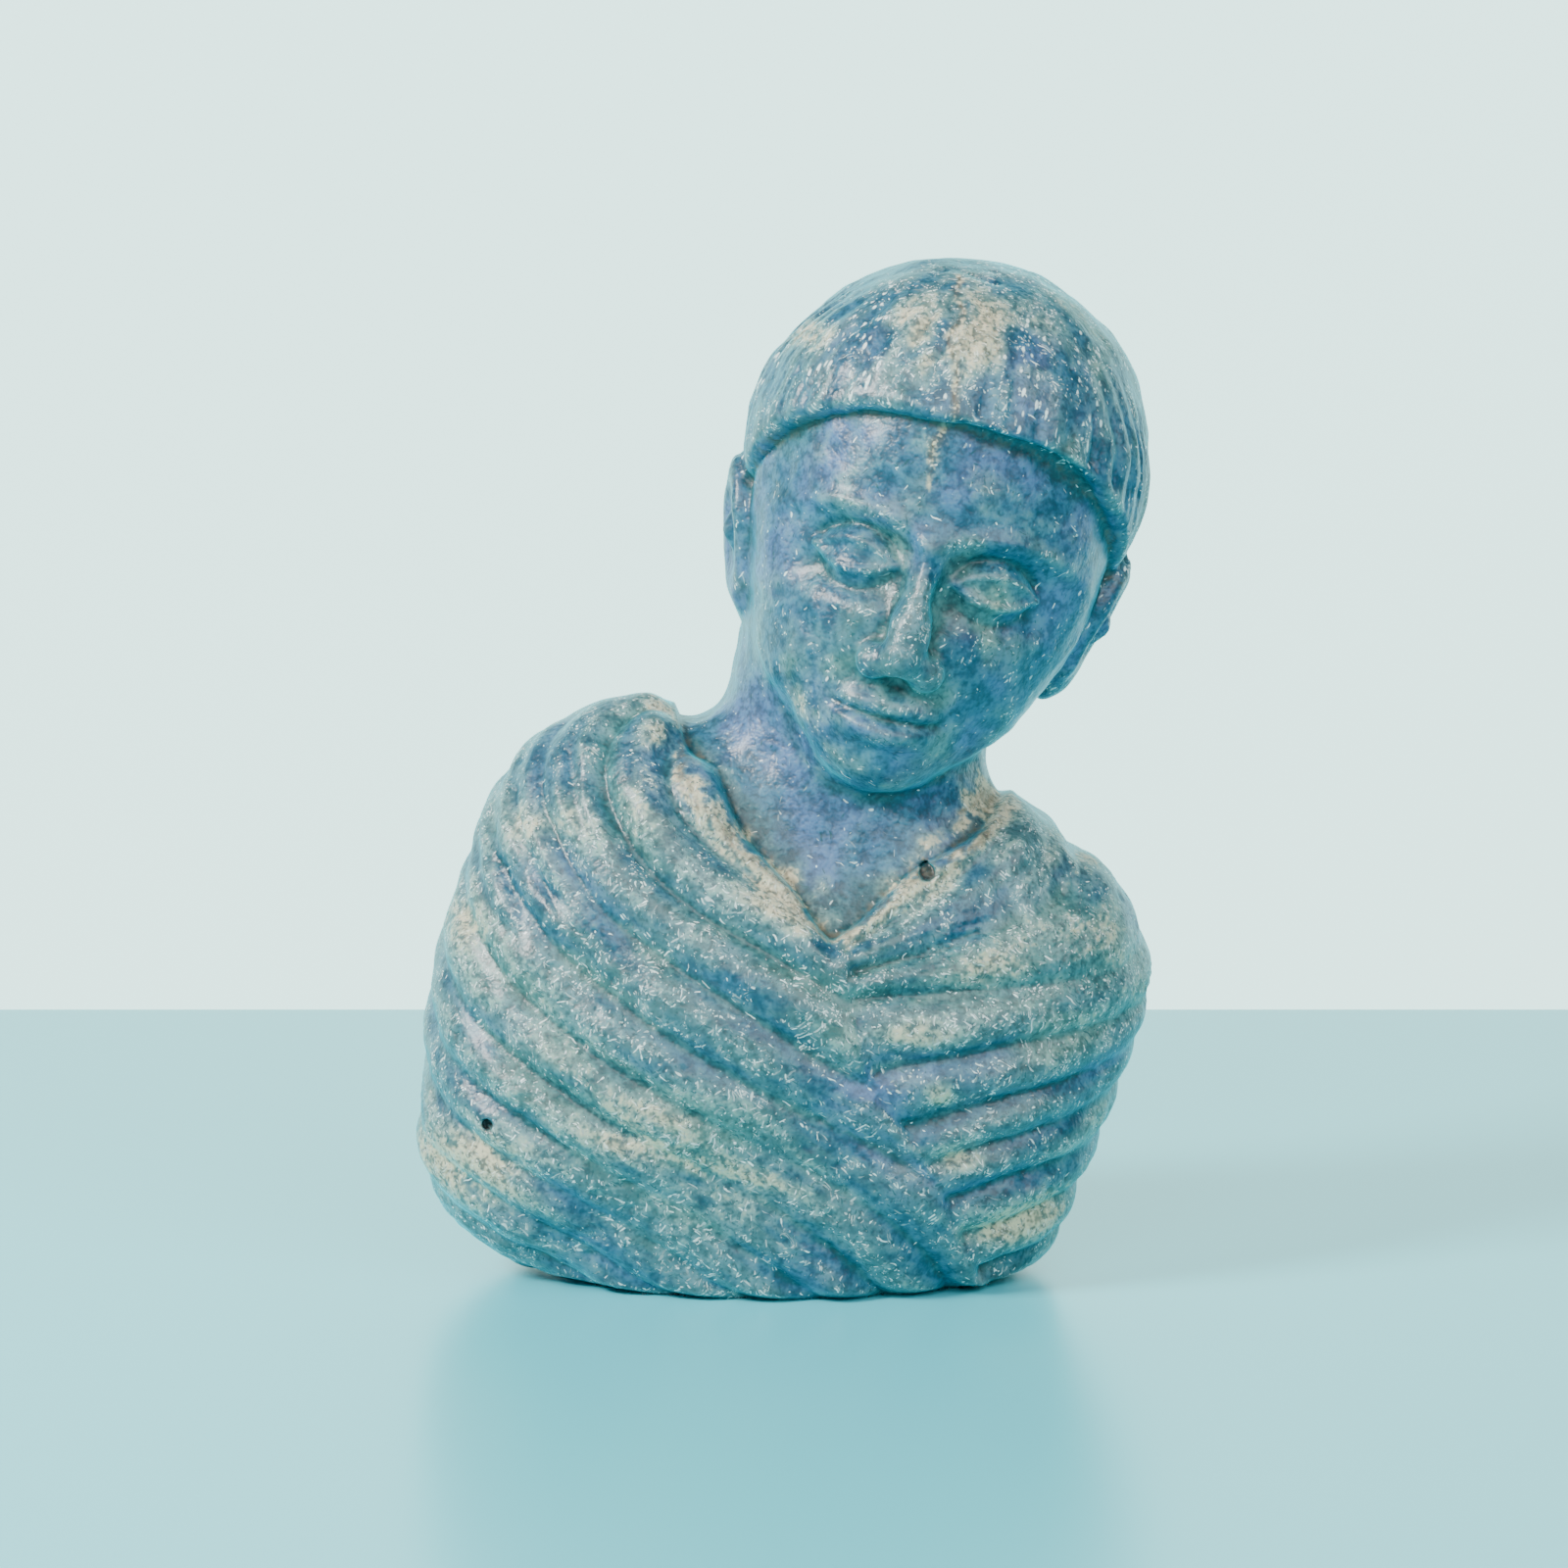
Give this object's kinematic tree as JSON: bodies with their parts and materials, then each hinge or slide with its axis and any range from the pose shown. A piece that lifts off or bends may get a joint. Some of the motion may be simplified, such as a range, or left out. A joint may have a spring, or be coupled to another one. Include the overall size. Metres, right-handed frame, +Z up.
{
  "type": "stone bust",
  "caption": "Small carved bust of a person with a bowl-shaped cap of hair and a tilted head, in crossed and folded drapery, cut flat below to stand.",
  "frame": {"origin": "middle of the bust's box, on the plane of the flat underside", "axes": "+Z up from the underside to the crown, -Y the way the face and chest look, +X the viewer's right"},
  "size_m": [0.0504, 0.0298, 0.0695],
  "materials": {
    "lapis_lazuli": "worn semi-matte stone"
  },
  "bodies": {
    "root": {"bust": "lapis_lazuli"}
  },
  "joints": []
}
